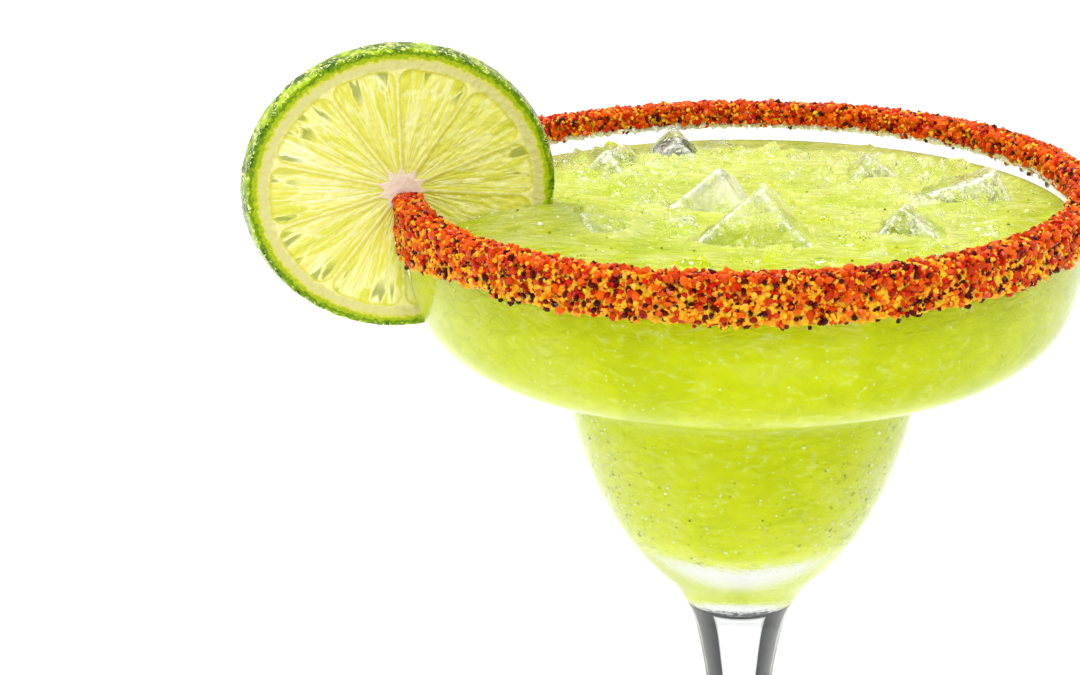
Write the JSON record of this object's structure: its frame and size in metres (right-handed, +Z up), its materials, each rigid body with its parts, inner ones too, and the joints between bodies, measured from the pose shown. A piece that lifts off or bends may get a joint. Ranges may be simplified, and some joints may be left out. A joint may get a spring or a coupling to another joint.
{
  "type": "margarita cocktail in a stemmed glass",
  "caption": "Margarita in a stepped, stemmed glass with a chilli salt rim, a lime wheel slit over the rim and ice standing out of the drink.",
  "frame": {"origin": "middle of the foot's underside, on the surface the glass stands on", "axes": "+Z up along the glass's axis; -Y is the front; the lime sits on the rim towards -X"},
  "size_m": [0.1432, 0.119, 0.1969],
  "materials": {
    "glass": "clear polished glass",
    "drink": "cloudy lime-yellow liquid, wet and glossy",
    "chilli_salt": "coarse grains of salt and ground chilli, orange to deep red",
    "lime": "cut lime: wet yellow-green flesh, pale pith and a glossy dark green skin",
    "ice": "melting clear ice, frosted inside"
  },
  "bodies": {
    "root": {"glass": "glass", "drink": "drink", "chilli_salt": "chilli_salt", "lime_wheel": "lime", "ice_1": "ice", "ice_2": "ice", "ice_3": "ice", "ice_4": "ice", "ice_5": "ice", "ice_6": "ice", "ice_7": "ice", "ice_8": "ice"}
  },
  "joints": []
}
